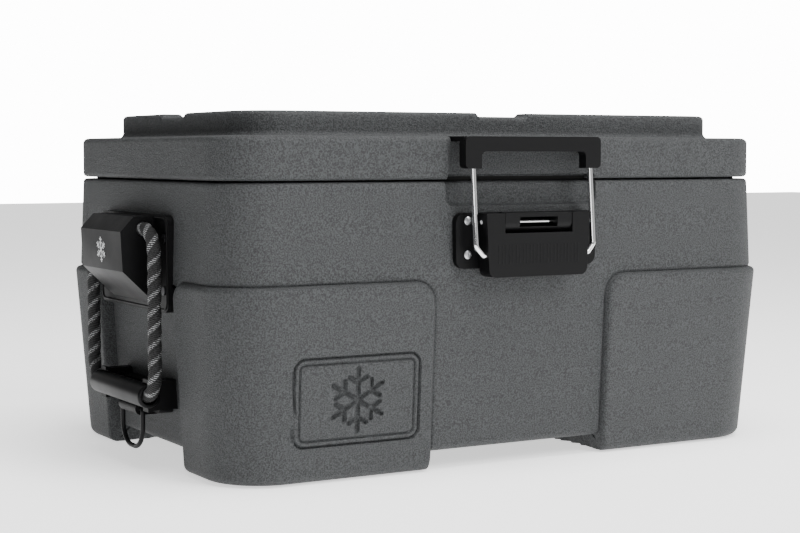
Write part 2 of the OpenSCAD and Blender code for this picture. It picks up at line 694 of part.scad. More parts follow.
centred() body_shell();
centred() body_foam();
centred() foam_port_plug();
centred() foot_pads();
centred() lid_shell();
centred() lid_foam();
centred() lid_gasket();
centred() color(BLACK) at_hinge(-1) body_leaf();  // hinge_body_leaf_left
centred() color(BLACK) at_hinge(1) body_leaf();  // hinge_body_leaf_right
centred() color(BLACK) at_hinge(-1) lid_leaf();  // hinge_lid_leaf_left
centred() color(BLACK) at_hinge(1) lid_leaf();  // hinge_lid_leaf_right
centred() color(STEEL) at_hinge(-1) hinge_pin();  // hinge_pin_left
centred() color(STEEL) at_hinge(1) hinge_pin();  // hinge_pin_right
centred() color(STEEL) hinge_screws(body_leaf_z);  // hinge_body_screws
centred() color(STEEL) hinge_screws(lid_leaf_z);  // hinge_lid_screws
centred() latch_base();
centred() latch_screws();
centred() latch_pivot_pin();
centred() latch_lever();
centred() latch_rods();
centred() latch_hook();
centred() at_left() handle_mount();  // handle_mount_left
centred() at_right() handle_mount();  // handle_mount_right
centred() at_left() handle_screws();  // handle_screws_left
centred() at_right() handle_screws();  // handle_screws_right
centred() at_left() handle_rope();  // handle_rope_left
centred() at_right() handle_rope();  // handle_rope_right
centred() at_left() rope_ferrules();  // rope_ferrules_left
centred() at_right() rope_ferrules();  // rope_ferrules_right
centred() at_left() handle_grip();  // handle_grip_left
centred() at_right() handle_grip();  // handle_grip_right
centred() at_left() grip_dock();  // grip_dock_left
centred() at_right() grip_dock();  // grip_dock_right
centred() at_left() dock_screws();  // dock_screws_left
centred() at_right() dock_screws();  // dock_screws_right
centred() at_left() tie_loop();  // tie_loop_left
centred() at_right() tie_loop();  // tie_loop_right
centred() drain_fitting();
centred() drain_washer();
centred() drain_nut();
centred() drain_plug();
centred() drain_seal();
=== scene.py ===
# %% [markdown]
# # A hard cooler box with rope handles
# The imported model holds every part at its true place. This script loads it as a fixed frame and
# gives it its looks: the two grey mouldings, the ropes and the chrome rods are made anew as numpy
# surfaces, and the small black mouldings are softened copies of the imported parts.

# %% Load the frame
import json
import math

import bmesh
import bpy
import numpy as np
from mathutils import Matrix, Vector


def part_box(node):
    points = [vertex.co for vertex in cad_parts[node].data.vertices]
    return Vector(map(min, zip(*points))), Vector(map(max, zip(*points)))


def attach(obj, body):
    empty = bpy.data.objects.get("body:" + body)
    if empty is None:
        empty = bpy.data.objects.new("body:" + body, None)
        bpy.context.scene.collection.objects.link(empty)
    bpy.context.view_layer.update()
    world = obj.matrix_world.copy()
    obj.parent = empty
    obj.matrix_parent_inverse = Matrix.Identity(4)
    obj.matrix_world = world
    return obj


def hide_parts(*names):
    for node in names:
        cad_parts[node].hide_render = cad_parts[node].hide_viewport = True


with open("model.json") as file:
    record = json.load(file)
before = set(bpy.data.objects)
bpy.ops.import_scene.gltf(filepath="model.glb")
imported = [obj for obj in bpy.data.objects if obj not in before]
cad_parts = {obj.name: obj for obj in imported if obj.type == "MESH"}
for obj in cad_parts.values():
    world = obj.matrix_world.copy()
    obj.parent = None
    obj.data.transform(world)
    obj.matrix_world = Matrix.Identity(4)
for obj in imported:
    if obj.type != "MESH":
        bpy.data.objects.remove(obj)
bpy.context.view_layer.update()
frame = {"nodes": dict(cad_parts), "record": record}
MM = 0.001
shell_low, shell_high = (np.array(v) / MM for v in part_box("body_shell"))
lid_low, lid_high = (np.array(v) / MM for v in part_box("lid_shell"))
MID_Y = (lid_low[1] + lid_high[1]) / 2
print("body shell", shell_low.round(1), shell_high.round(1), "middle", round(float(MID_Y), 2))

# %% [markdown]
# ## Camera
# The box is seen from the front left, from about 1.9 m away and a little above its middle, with a
# longish lens, so that its long edges converge only slightly.

# %% Camera
CAMERA_PLACE = np.array([-967.8, -1644.4 + MID_Y, 317.9])
CAMERA_TURN = 30.0
CAMERA_DIP = 3.83
camera_data = bpy.data.cameras.new("camera")
camera_data.sensor_width = 36.0
camera_data.lens = 75.52
camera_data.clip_end = 50.0
camera = bpy.data.objects.new("camera", camera_data)
camera.location = CAMERA_PLACE * MM
camera.rotation_euler = (math.radians(90 - CAMERA_DIP), 0, math.radians(-CAMERA_TURN))
bpy.context.scene.collection.objects.link(camera)
bpy.context.scene.camera = camera

# %% [markdown]
# ## Meshes from grids
# Every new surface here is a grid of points: rows along one parameter, columns along another.
# `grid_piece` joins neighbouring points with quads. A grid that closes on itself has no seam, and
# a row can be capped with one flat face, so the piece is a closed solid.


# %% Grid helpers
def grid_faces(rows, cols, loop_rows=False, loop_cols=True):
    """Quads between row i and i + 1, column j and j + 1, wrapping round where a loop is asked for."""
    i = np.arange(rows if loop_rows else rows - 1)
    j = np.arange(cols if loop_cols else cols - 1)
    a = (i[:, None] * cols + j[None, :]).ravel()
    b = (i[:, None] * cols + (j[None, :] + 1) % cols).ravel()
    c = (((i[:, None] + 1) % rows) * cols + (j[None, :] + 1) % cols).ravel()
    d = (((i[:, None] + 1) % rows) * cols + j[None, :]).ravel()
    return np.stack([a, b, c, d], axis=1)


def new_piece(name, points, faces, smooth=40.0):
    """A mesh object from points in millimetres. Faces share a smooth shade below the given angle."""
    mesh = bpy.data.meshes.new(name)
    mesh.from_pydata((np.asarray(points) * MM).tolist(), [], [list(map(int, f)) for f in faces])
    mesh.validate()
    mesh.update()
    mesh.shade_smooth()
    mesh.set_sharp_from_angle(angle=math.radians(smooth))
    piece = bpy.data.objects.new(name, mesh)
    bpy.context.scene.collection.objects.link(piece)
    return piece


def grid_piece(name, grid, loop_rows=False, caps=True, flip=False, smooth=40.0):
    """A closed piece from a grid whose columns loop; its first and last rows are capped."""
    rows, cols = grid.shape[:2]
    faces = grid_faces(rows, cols, loop_rows).tolist()
    if caps and not loop_rows:
        faces.append(list(range(cols))[::-1])
        faces.append(list(range((rows - 1) * cols, rows * cols)))
    if flip:
        faces = [f[::-1] for f in faces]
    return new_piece(name, grid.reshape(-1, 3), faces, smooth)


def smooth_step(x):
    """Rises from 0 to 1 as x does, flat at both ends."""
    x = np.clip(x, 0.0, 1.0)
    return x * x * (3 - 2 * x)


def graded(start, end, step, marks=()):
    """Numbers from start to end about a step apart, and closer round each mark.
    A mark is (place, reach, fine): spacing falls to fine within reach of place."""
    fine_x = np.linspace(start, end, 4001)
    spacing = np.full_like(fine_x, step)
    for place, reach, fine in marks:
        off = np.abs(fine_x - place)
        near = np.where(off < reach, fine, fine + (off - reach) * 0.7)
        spacing = np.minimum(spacing, near)
    count = np.concatenate([[0], np.cumsum(np.diff(fine_x) / ((spacing[1:] + spacing[:-1]) / 2))])
    total = max(2, int(round(count[-1])))
    return np.interp(np.linspace(0, count[-1], total + 1), count, fine_x)


# %% [markdown]
# ## Materials
# Each material starts from the real one. One helper adds a node with its settings and links, and
# one turns a hex colour to linear light.


# %% Material helpers
def colour(code, alpha=1.0):
    """The linear colour of an sRGB hex value."""
    parts = [int(code[i : i + 2], 16) / 255 for i in (1, 3, 5)]
    return tuple(p / 12.92 if p <= 0.04045 else ((p + 0.055) / 1.055) ** 2.4 for p in parts) + (alpha,)


def add(tree, kind, settings=None, **links):
    """Adds a node. Settings set its properties, or its inputs by name; links join inputs to sockets."""
    node = tree.nodes.new(kind)
    for key, value in (settings or {}).items():
        if key in node.inputs.keys():
            node.inputs[key].default_value = value
        else:
            setattr(node, key, value)
    for key, socket in links.items():
        name = key.replace("_", " ")
        target = node.inputs[int(key[1:])] if key[0] == "i" and key[1:].isdigit() else node.inputs[name]
        tree.links.new(socket, target)
    return node


def new_material(name, **shader):
    """A Principled material with the given shader inputs; returns it with its tree and shader."""
    material = bpy.data.materials.new(name)
    material.use_nodes = True
    tree = material.node_tree
    principled = tree.nodes["Principled BSDF"]
    for key, value in shader.items():
        principled.inputs[key.replace("_", " ")].default_value = value
    return material, tree, principled


def object_place(tree, scale=1.0):
    """Object coordinates, in metres, times a scale."""
    place = add(tree, "ShaderNodeTexCoord").outputs["Object"]
    return add(tree, "ShaderNodeVectorMath", {"operation": "SCALE", "Scale": scale}, i0=place).outputs[0]


def bump(tree, principled, height, strength, distance):
    """Bump from a height socket; distance is the relief's depth in metres."""
    node = add(tree, "ShaderNodeBump", {"Strength": strength, "Distance": distance}, Height=height)
    tree.links.new(node.outputs["Normal"], principled.inputs["Normal"])


# %% [markdown]
# Rotomoulded polyethylene is cast against a blasted steel mould, which leaves a fine pebble all
# over. The grains are 1 to 2 mm across, with softer swells under them. The colour follows the same
# noise as the relief, so the grains' tops are painted lighter than the valleys: a painted highlight
# for the little more light that the tops catch.

# %% Rotomoulded polyethylene
PEBBLE_MM = 1.45
pebbled_polyethylene, tree, shader = new_material("pebbled_grey_polyethylene", Roughness=0.6, IOR=1.5,
                                                    Specular_IOR_Level=0.35)
place = object_place(tree, 1000 / PEBBLE_MM)
pebble = add(tree, "ShaderNodeTexNoise", {"Scale": 1.0, "Detail": 2.0, "Roughness": 0.55}, Vector=place)
grain = add(tree, "ShaderNodeTexNoise", {"Scale": 2.6, "Detail": 1.0, "Roughness": 0.5}, Vector=place)
patch = add(tree, "ShaderNodeTexNoise", {"Scale": 0.03, "Detail": 2.0}, Vector=place)
pebble_height = add(tree, "ShaderNodeMath",
                    {"operation": "MULTIPLY_ADD"}, i0=grain.outputs["Fac"], i2=pebble.outputs["Fac"])
pebble_height.inputs[1].default_value = 0.35
# Painted highlight: the colour is lighter where the pebble noise, and so the relief, is high, on the grains'
# tops
painted_grain_highlight = add(tree, "ShaderNodeValToRGB", Fac=pebble.outputs["Fac"])
painted_grain_highlight.color_ramp.elements[0].position = 0.38
painted_grain_highlight.color_ramp.elements[0].color = colour("#212223")
painted_grain_highlight.color_ramp.elements[1].position = 0.62
painted_grain_highlight.color_ramp.elements[1].color = colour("#3f4142")
drift = add(tree, "ShaderNodeMapRange", {"To Min": 0.97, "To Max": 1.03}, Value=patch.outputs["Fac"])
# The painted highlight is varied a little in random patches of tone before it becomes the base colour
drifted_tone_and_painted_highlight = add(tree, "ShaderNodeVectorMath", {"operation": "SCALE"}, i0=painted_grain_highlight.outputs["Color"],
              Scale=drift.outputs["Result"])
tree.links.new(drifted_tone_and_painted_highlight.outputs[0], shader.inputs["Base Color"])
bump(tree, shader, pebble_height.outputs[0], 1.0, 0.0013)

# %% [markdown]
# The black fittings are glass-filled nylon, injection moulded in a spark-eroded tool: near black,
# satin, with a grain that is only just seen.


# %% Black mouldings, rubber, foam and metal
def satin_moulding(name, code, roughness, grain_mm=0.9, depth=0.00008, strength=0.5):
    """A moulded plastic or rubber with a fine even grain."""
    material, tree, shader = new_material(name, Base_Color=colour(code), Roughness=roughness, IOR=1.5,
                                          Specular_IOR_Level=0.14)
    place = object_place(tree, 1000 / grain_mm)
    grain = add(tree, "ShaderNodeTexNoise", {"Scale": 1.0, "Detail": 1.5}, Vector=place)
    wear = add(tree, "ShaderNodeTexNoise", {"Scale": 0.04, "Detail": 3.0}, Vector=place)
    rough = add(tree, "ShaderNodeMapRange", {"To Min": roughness - 0.06, "To Max": roughness + 0.08},
                Value=wear.outputs["Fac"])
    tree.links.new(rough.outputs["Result"], shader.inputs["Roughness"])
    bump(tree, shader, grain.outputs["Fac"], strength, depth)
    return material


black_nylon = satin_moulding("spark_grained_black_nylon", "#080809", 0.46)
black_grip = satin_moulding("smooth_black_polypropylene", "#070708", 0.4, 1.4, 0.00005)
black_rubber = satin_moulding("black_epdm_rubber", "#121212", 0.7, 0.7)
powder_coat = satin_moulding("black_powder_coated_wire", "#141415", 0.4, 0.6, 0.00004)
cream_foam = satin_moulding("cream_polyurethane_foam", "#d8cfa8", 0.9, 1.2, 0.0004)


def steel(name, code, roughness, brush_mm):
    """Stainless steel with faint scratches; the finish is set by its roughness."""
    material, tree, shader = new_material(name, Base_Color=colour(code), Metallic=1.0, Roughness=roughness)
    place = object_place(tree, 1000 / brush_mm)
    scratch = add(tree, "ShaderNodeTexNoise", {"Scale": 1.0, "Detail": 3.0}, Vector=place)
    rough = add(tree, "ShaderNodeMapRange", {"To Min": roughness * 0.7, "To Max": roughness * 1.5},
                Value=scratch.outputs["Fac"])
    tree.links.new(rough.outputs["Result"], shader.inputs["Roughness"])
    return material


polished_steel = steel("polished_stainless_steel", "#eeeeef", 0.06, 3.0)
satin_steel = steel("satin_stainless_steel", "#b9babc", 0.3, 0.8)
black_oxide = steel("black_oxide_steel", "#3a3a3c", 0.35, 0.8)

# %% [markdown]
# ## Ropes
# Each handle is one rope, laid from two black strands with light tracer yarns. It leaves the
# housing sideways, bends down under the grip's weight, runs through the grip and goes back up into
# the housing. The route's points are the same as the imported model's. The surface is a tube whose
# radius swells twice round the rope, and the swells wind along it, which is how a laid rope looks.

# %% Rope route
ROPE_D = 14.0
ROPE_LAY = 33.0
ROPE_OUT, ROPE_EXIT_Z = 350.0, 243.0
ROPE_HALF = [(40, 0), (50, 0), (60, 0), (66, -0.2), (72.5, -2), (80.5, -7), (85.5, -15), (87.5, -24),
             (87.5, -50), (87.5, -84), (87.5, -118), (87.5, -144), (85.5, -153), (80.5, -161),
             (72.5, -166), (66, -167.8), (60, -168), (36, -168), (12, -168)]


def smooth_route(points, step=1.5):
    """Catmull-Rom curve through the points, at even steps along its length."""
    p = np.array(points, float)
    p = np.vstack([2 * p[0] - p[1], p, 2 * p[-1] - p[-2]])
    t = np.linspace(0, 1, 30, endpoint=False)[:, None]
    parts = []
    for i in range(len(p) - 3):
        a, b, c, d = p[i : i + 4]
        parts.append(0.5 * (2 * b + (c - a) * t + (2 * a - 5 * b + 4 * c - d) * t**2
                            + (3 * b - a - 3 * c + d) * t**3))
    dense = np.vstack(parts + [p[-2:-1]])
    far = np.concatenate([[0], np.cumsum(np.linalg.norm(np.diff(dense, axis=0), axis=1))])
    at = np.linspace(0, far[-1], int(far[-1] / step) + 1)
    return np.stack([np.interp(at, far, dense[:, k]) for k in range(3)], axis=1), far[-1]


def rope_piece(name, side):
    """A laid rope: a tube whose radius swells in two lobes that wind along it, one turn a lay."""
    whole = ROPE_HALF + [(-y, z) for y, z in ROPE_HALF[::-1]]
    points = [(side * ROPE_OUT, MID_Y + y, ROPE_EXIT_Z + z) for y, z in whole]
    path, length = smooth_route(points)
    along = np.linspace(0, length, len(path))
    tangent = np.gradient(path, axis=0)
    tangent /= np.linalg.norm(tangent, axis=1)[:, None]
    out = np.tile([float(side), 0, 0], (len(path), 1))
    across = np.cross(tangent, out)
    angle = np.linspace(0, 2 * np.pi, 40, endpoint=False)[None, :]
    turn = angle - 2 * np.pi * along[:, None] / ROPE_LAY
    # Two fat strands and two thin grooves between them
    radius = ROPE_D / 2 * (0.86 + 0.14 * np.abs(np.cos(turn)) ** 0.7)
    ring = (np.cos(angle)[..., None] * out[:, None, :] + np.sin(angle)[..., None] * across[:, None, :])
    grid = path[:, None, :] + radius[..., None] * ring
    piece = grid_piece(name, grid, flip=side < 0, smooth=60)
    uv = piece.data.uv_layers.new(name="rope")
    rows, cols = grid.shape[:2]
    index = np.zeros(len(piece.data.loops), int)
    piece.data.loops.foreach_get("vertex_index", index)
    u = (index % cols) / cols
    v = along[np.minimum(index // cols, rows - 1)] / ROPE_LAY
    starts = np.zeros(len(piece.data.polygons), int)
    piece.data.polygons.foreach_get("loop_start", starts)
    quad = np.repeat(np.arange(len(starts)), np.diff(np.append(starts, len(index))))
    span = np.zeros(len(starts))
    np.maximum.at(span, quad, u)
    u = np.where((span[quad] > 0.9) & (u < 0.1), u + 1, u)
    uv.data.foreach_set("uv", np.stack([u, v], axis=1).ravel())
    return piece, path * MM, length


# %% [markdown]
# The tracer yarns are two winding bands of short light strokes. On the rope's own UV map, u runs
# once round and v counts lays, so a band is a line where u minus v is constant. The strokes are a
# fine stripe across the band, broken up by noise, and the same stripe is a bump all over the rope.

# %% Rope material and pieces
laid_rope, tree, shader = new_material("laid_polyester_rope", Roughness=0.75, IOR=1.5)
uv_map = add(tree, "ShaderNodeUVMap", {"uv_map": "rope"})
split = add(tree, "ShaderNodeSeparateXYZ", i0=uv_map.outputs["UV"])


def math_node(tree, operation, a, b=None):
    """A Math node on sockets or numbers."""
    node = add(tree, "ShaderNodeMath", {"operation": operation})
    for socket, value in zip(node.inputs, (a, b)):
        if value is None:
            continue
        if isinstance(value, (int, float)):
            socket.default_value = value
        else:
            tree.links.new(value, socket)
    return node.outputs[0]


u_socket, v_socket = split.outputs["X"], split.outputs["Y"]
wind = math_node(tree, "SUBTRACT", math_node(tree, "MULTIPLY", u_socket, 2.0),
                 math_node(tree, "MULTIPLY", v_socket, 2.0))
band = math_node(tree, "SINE", math_node(tree, "MULTIPLY", wind, 2 * math.pi))
band_mask = add(tree, "ShaderNodeMapRange", {"From Min": 0.3, "From Max": 0.75}, Value=band)
yarn = math_node(tree, "ADD", math_node(tree, "MULTIPLY", u_socket, 5.0),
                 math_node(tree, "MULTIPLY", v_socket, 17.0))
stroke = math_node(tree, "SINE", math_node(tree, "MULTIPLY", yarn, 2 * math.pi))
stroke_mask = add(tree, "ShaderNodeMapRange", {"From Min": -0.1, "From Max": 0.35}, Value=stroke)
fray = add(tree, "ShaderNodeTexNoise", {"Scale": 1.0, "Detail": 2.0}, Vector=object_place(tree, 520))
fray_mask = add(tree, "ShaderNodeMapRange", {"From Min": 0.4, "From Max": 0.56, "To Min": 0.25},
                Value=fray.outputs["Fac"])
tracer = math_node(tree, "MULTIPLY", band_mask.outputs["Result"], stroke_mask.outputs["Result"])
tracer = math_node(tree, "MULTIPLY", tracer, fray_mask.outputs["Result"])
rope_tint = add(tree, "ShaderNodeMix", {"data_type": "RGBA"}, i0=tracer)
rope_tint.inputs[6].default_value = colour("#0d0d0e")
rope_tint.inputs[7].default_value = colour("#a9aaab")
tree.links.new(rope_tint.outputs[2], shader.inputs["Base Color"])
bump(tree, shader, stroke, 0.9, 0.0007)

for side, word in ((-1, "left"), (1, "right")):
    rope, rope_path, rope_length = rope_piece(f"rope_{word}", side)
    rope.data.materials.append(laid_rope)
    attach(rope, f"handle_{word}")
    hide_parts(f"handle_rope_{word}")
    print(rope.name, "length", round(rope_length, 1), "mm")

# %% [markdown]
# ## The box
# The box is one hollow moulding. Its skin is drawn as a single grid: columns run round the box,
# and rows run from the middle of the underside, out and up the outer wall, over the rim, down
# into the tub and to the middle of its floor. The corner blocks are a field on that grid, which
# pushes the wall out by a few millimetres wherever it is above zero, with rounded shoulders.

# %% Box sizes
BODY_L, BODY_W, CORNER_R = lid_high[0] - lid_low[0], lid_high[1] - lid_low[1], 55.0
RIM_Z = shell_high[2]
STEP_Z, BELLY_Z, FOOT_Z = 190.5, 18.5, shell_low[2]
LEAN, TAPER = math.tan(math.radians(1.83)), math.tan(math.radians(3.56))
PROUD, END_RECESS, BLOCK_R = 6.0, 13.0, 62.0
FRONT_GAP, END_GAP = 106.0, 101.0
WALL_T, TUB_R, TUB_DRAFT = 42.0, 38.0, math.tan(math.radians(1.5))
TUB_FLOOR = BELLY_Z + WALL_T
STEP_OUT = (RIM_Z - STEP_Z) * LEAN
BADGE_X, BADGE_Z = (-264.0, -122.5), (35.0, 124.0)
POCKET_X, POCKET_Z, POCKET_DEPTH = 92.5, RIM_Z - 25.0, 6.5
BREAK = 30.0
FOOT_ROUND, RIM_ROUND, LIP_ROUND, TUB_ROUND = 9.0, 4.0, 5.0, 18.0
STEP_ROUND, SHOULDER_W = 22.0, 6.0


def wall_columns():
    """Columns round the box: for each, its side, its place along that side, and its corner angle.
    Along a straight side, columns crowd where blocks, badge or pocket have edges."""
    half_x, half_y = BODY_L / 2 + STEP_OUT + PROUD - BLOCK_R, BODY_W / 2 + STEP_OUT + PROUD - BLOCK_R
    edges = [(s * FRONT_GAP, 7, 1.2) for s in (-1, 1)]
    badge = [(BADGE_X[0] + 4.5, 6, 0.95), (BADGE_X[1] - 4.5, 6, 0.95), (sum(BADGE_X) / 2, 30, 1.2)]
    pocket = [(s * POCKET_X, 5, 1.4) for s in (-1, 1)]
    breaks = [(s * BREAK, 3, 1.4) for s in (-1, 1)]
    front = graded(-half_x, half_x, 16, edges + badge + pocket + breaks)
    back = graded(-half_x, half_x, 16, edges + breaks)[::-1]
    end = graded(-half_y, half_y, 16, [(s * END_GAP, 7, 1.5) for s in (-1, 1)] + breaks)
    arc = np.linspace(0, np.pi / 2, 19)[1:-1]
    columns = []
    for side, places in ((0, front), (1, end), (2, back), (3, end[::-1])):
        columns += [(side, p, 0.0) for p in places]
        columns += [(side, places[-1], a) for a in arc]
    return np.array(columns)


COLUMNS = wall_columns()
SIDE, ALONG, ARC = COLUMNS[:, 0].astype(int), COLUMNS[:, 1], COLUMNS[:, 2]
KEEP_X, KEEP_Y = 225.0, 112.0


def ring(half_x, half_y, radius):
    """Points and outward normals of a rounded rectangle, one for each column.
    Columns near the middle of a side keep their place; only those near a corner are stretched."""
    ref = np.where(SIDE % 2 == 0, BODY_L / 2 + STEP_OUT + PROUD, BODY_W / 2 + STEP_OUT + PROUD) - BLOCK_R
    keep = np.where(SIDE % 2 == 0, KEEP_X, KEEP_Y)
    reach = np.where(SIDE % 2 == 0, half_x, half_y) - radius
    past = (np.abs(ALONG) - keep) / (ref - keep)
    place = np.sign(ALONG) * np.where(past > 0, keep + past * (reach - keep), np.abs(ALONG))
    turn = np.pi / 2 * (SIDE - 1) + ARC
    normal = np.stack([np.cos(turn), np.sin(turn)], axis=1)
    sx, sy = half_x - radius, half_y - radius
    flat_x, flat_y = np.full_like(place, sx), np.full_like(place, sy)
    on_side = [SIDE == 0, SIDE == 1, SIDE == 2]
    x = np.select(on_side, [place, flat_x, place], -sx)
    y = np.select(on_side, [-flat_y, place, flat_y], place)
    return np.stack([x, y], axis=1) + radius * normal, normal


def edge_distance(a, b, radius):
    """How far inside a convex corner region a point is, given its distance inside two edges.
    The corner between the two edges is rounded by radius."""
    da, db = radius - a, radius - b
    corner = radius - np.hypot(np.maximum(da, 0), np.maximum(db, 0))
    return np.where((da > 0) & (db > 0), corner, np.minimum(a, b))


def shoulder(distance, width):
    """Rises from 0 to 1 over width as a quarter circle: a rounded shoulder with a crisp foot."""
    t = np.clip(distance / width, 0, 1)
    return np.sqrt(1 - (1 - t) ** 2)


def column_gap():
    """How far each column is inside a corner block, measured along the wall."""
    flat = np.where(SIDE % 2 == 0, np.abs(ALONG) - FRONT_GAP, np.abs(ALONG) - END_GAP)
    return np.where(ARC > 0, 60.0, flat)


GAP = column_gap()
FOOT = smooth_step((GAP + 1.5) / 5)

# %% [markdown]
# The badge on the front is a frame of two fine grooves with a sign inside. The sign here is a
# plain snowflake, a common mark for cold storage. Both are signed distances: a groove is where
# the distance to a line is small.


# %% Badge relief
def badge_depth(x, z):
    """Depth of the badge's grooves at a point of the front wall, in millimetres."""
    cx, cz = sum(BADGE_X) / 2, sum(BADGE_Z) / 2
    hx, hz, r = (BADGE_X[1] - BADGE_X[0]) / 2, (BADGE_Z[1] - BADGE_Z[0]) / 2, 13.0
    qx, qz = np.abs(x - cx) - hx + r, np.abs(z - cz) - hz + r
    frame_line = np.hypot(np.maximum(qx, 0), np.maximum(qz, 0)) + np.minimum(np.maximum(qx, qz), 0) - r
    depth = 3.2 * (1 - smooth_step((np.abs(frame_line + 1.6) - 0.5) / 1.1))
    depth = np.maximum(depth, 2.0 * (1 - smooth_step((np.abs(frame_line + 7.5) - 0.4) / 1.1)))
    px, pz = x - cx, z - cz
    flake = np.full_like(px, 99.0)
    for k in range(6):
        a = math.pi / 2 + k * math.pi / 3
        u, v = px * math.cos(a) + pz * math.sin(a), -px * math.sin(a) + pz * math.cos(a)
        flake = np.minimum(flake, np.hypot(u - np.clip(u, 0, 31), v))
        for at, length in ((17, 11),):
            for s in (-1, 1):
                bu, bv = math.cos(math.pi / 3), s * math.sin(math.pi / 3)
                t = np.clip((u - at) * bu + v * bv, 0, length)
                flake = np.minimum(flake, np.hypot(u - at - t * bu, v - t * bv))
    return np.maximum(depth, 3.6 * (1 - smooth_step((flake - 1.3) / 1.1)))


# %% Box surface
def outer_row(z_ref, sink=0.0):
    """One row of the outer wall. z_ref is its height on a corner block; between the blocks rows are
    squeezed to end at the underside. sink is how far the row is pulled in round an edge."""
    low = FOOT_Z + (BELLY_Z - FOOT_Z) * (1 - FOOT)
    z = np.where(z_ref < STEP_Z, low + (z_ref - FOOT_Z) * (STEP_Z - low) / (STEP_Z - FOOT_Z), z_ref)
    below = edge_distance(GAP, STEP_Z + 1.5 - z, STEP_ROUND)
    block = shoulder(below, SHOULDER_W)
    drop = np.maximum(STEP_Z - z, 0) * TAPER
    upper = (RIM_Z - np.maximum(z, STEP_Z)) * LEAN
    proud = np.where(z < STEP_Z + 6, PROUD, 0)
    base_set = np.where(SIDE % 2 == 0, 0, (END_RECESS - PROUD) * (1 - smooth_step((z - 184) / 6))
                        * (1 - smooth_step((GAP + 2) / 10)))
    out = upper - drop - base_set + (proud + base_set) * block
    corner = ARC > 0
    radius = CORNER_R + (BLOCK_R - CORNER_R) * block[corner].mean() - out[corner].mean()
    points, normal = ring(BODY_L / 2, BODY_W / 2, float(radius))
    points = points + normal * (out - sink)[:, None]
    front = (SIDE == 0) & (ARC == 0)
    x = points[:, 0]
    # A fine groove runs round the foot of each block
    groove = np.where(z < STEP_Z + 12, 1.6 * np.exp(-(((below + 0.9) / 1.2) ** 2)), 0)
    relief = groove + np.where(front, badge_depth(x, z), 0)
    inside = np.minimum(POCKET_X - np.abs(x), 99)
    pocket = edge_distance(inside, z - POCKET_Z, 10.0)
    relief = relief + np.where(front & (z > 200), POCKET_DEPTH * smooth_step(pocket / 2.6), 0)
    points = points - normal * relief[:, None]
    return np.column_stack([points[:, 0], points[:, 1] + MID_Y, z])


wall_z = graded(FOOT_Z + 9, RIM_Z - 5, 15, [(STEP_Z, 7, 1.0), (BADGE_Z[0] + 4.5, 6, 0.95),
                                            (BADGE_Z[1] - 4.5, 6, 0.95), (sum(BADGE_Z) / 2, 32, 1.2),
                                            (POCKET_Z, 5, 1.5)])
rows = []
foot_ring = outer_row(FOOT_Z, FOOT_ROUND)
centre = np.array([0, MID_Y])
for t in np.concatenate([[0.02], np.linspace(0.06, 1, 34)[:-1]]):
    flat = centre + (foot_ring[:, :2] - centre) * t
    block = smooth_step((np.abs(flat[:, 0]) - FRONT_GAP + 1) / 4) * smooth_step(
        (np.abs(flat[:, 1] - MID_Y) - END_GAP + 1) / 4)
    rows.append(np.column_stack([flat, BELLY_Z + (FOOT_Z - BELLY_Z) * block]))
for a in np.linspace(0, np.pi / 2, 7):
    sink, rise = FOOT_ROUND * (1 - math.sin(a)), FOOT_ROUND * (1 - math.cos(a))
    rows.append(outer_row(FOOT_Z + rise, sink))
rows += [outer_row(z) for z in wall_z[1:]]
for a in np.radians(np.linspace(18, 90, 5)):
    sink, drop = RIM_ROUND * (1 - math.cos(a)), RIM_ROUND * (1 - math.sin(a))
    rows.append(outer_row(RIM_Z - drop, sink))


def inner_row(z, inset, radius):
    """One row of the rim or the tub: a plain rounded rectangle, in from the rim's outside."""
    points, _ = ring(BODY_L / 2 - inset, BODY_W / 2 - inset, radius)
    return np.column_stack([points[:, 0], points[:, 1] + MID_Y, np.full(len(points), z)])


for inset in (14, 28):
    rows.append(inner_row(RIM_Z, inset, CORNER_R - inset * 0.5))
for a in np.linspace(np.pi / 2, 0, 5):
    lip = LIP_ROUND * math.sin(a)
    rows.append(inner_row(RIM_Z - LIP_ROUND + lip, WALL_T - lip, TUB_R + lip))
for z in np.linspace(RIM_Z - LIP_ROUND, TUB_FLOOR + TUB_ROUND, 9)[1:]:
    rows.append(inner_row(z, WALL_T + (RIM_Z - z) * TUB_DRAFT, TUB_R))
for a in np.linspace(0, np.pi / 2, 6)[1:]:
    rise = TUB_ROUND * (1 - math.sin(a))
    inset = WALL_T + (RIM_Z - TUB_FLOOR - TUB_ROUND) * TUB_DRAFT + TUB_ROUND * (1 - math.cos(a))
    rows.append(inner_row(TUB_FLOOR + rise, inset, TUB_R - 8 * math.sin(a)))
floor_ring = rows[-1]
for t in np.linspace(1, 0.02, 18)[1:]:
    flat = centre + (floor_ring[:, :2] - centre) * t
    rows.append(np.column_stack([flat, np.full(len(flat), TUB_FLOOR)]))
box_grid = np.array(rows)
box_skin = grid_piece("box_moulding", box_grid, smooth=50)
box_skin.data.materials.append(pebbled_polyethylene)
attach(box_skin, "cooler_body")
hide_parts("body_shell")
print("box", box_grid.shape, "triangles", 2 * box_grid.shape[0] * box_grid.shape[1])

# %% [markdown]
# Foam fills the space inside the skin. Its surface has every row and every other column of the
# same grid, moved in along the skin's own normals by a little more than the 4 mm skin.

# %% Foam in the box
normals = np.zeros(box_grid.size, np.float32)
box_skin.data.vertex_normals.foreach_get("vector", normals)
FOAM_IN = 4.6
foam_grid = (box_grid - FOAM_IN * normals.reshape(box_grid.shape))[:, ::2]
foam = grid_piece("foam_core", foam_grid, smooth=50)
foam.data.materials.append(cream_foam)
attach(foam, "cooler_body")
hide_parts("body_foam")
print("foam", foam_grid.shape)

# %% [markdown]
# ## The lid
# The lid is drawn the same way: rows run from the middle of its underside, over the plug and
# flange, up to the deck and in to the middle of the tray. The tray's border, its four breaks and
# the recess behind the latch are fields again.

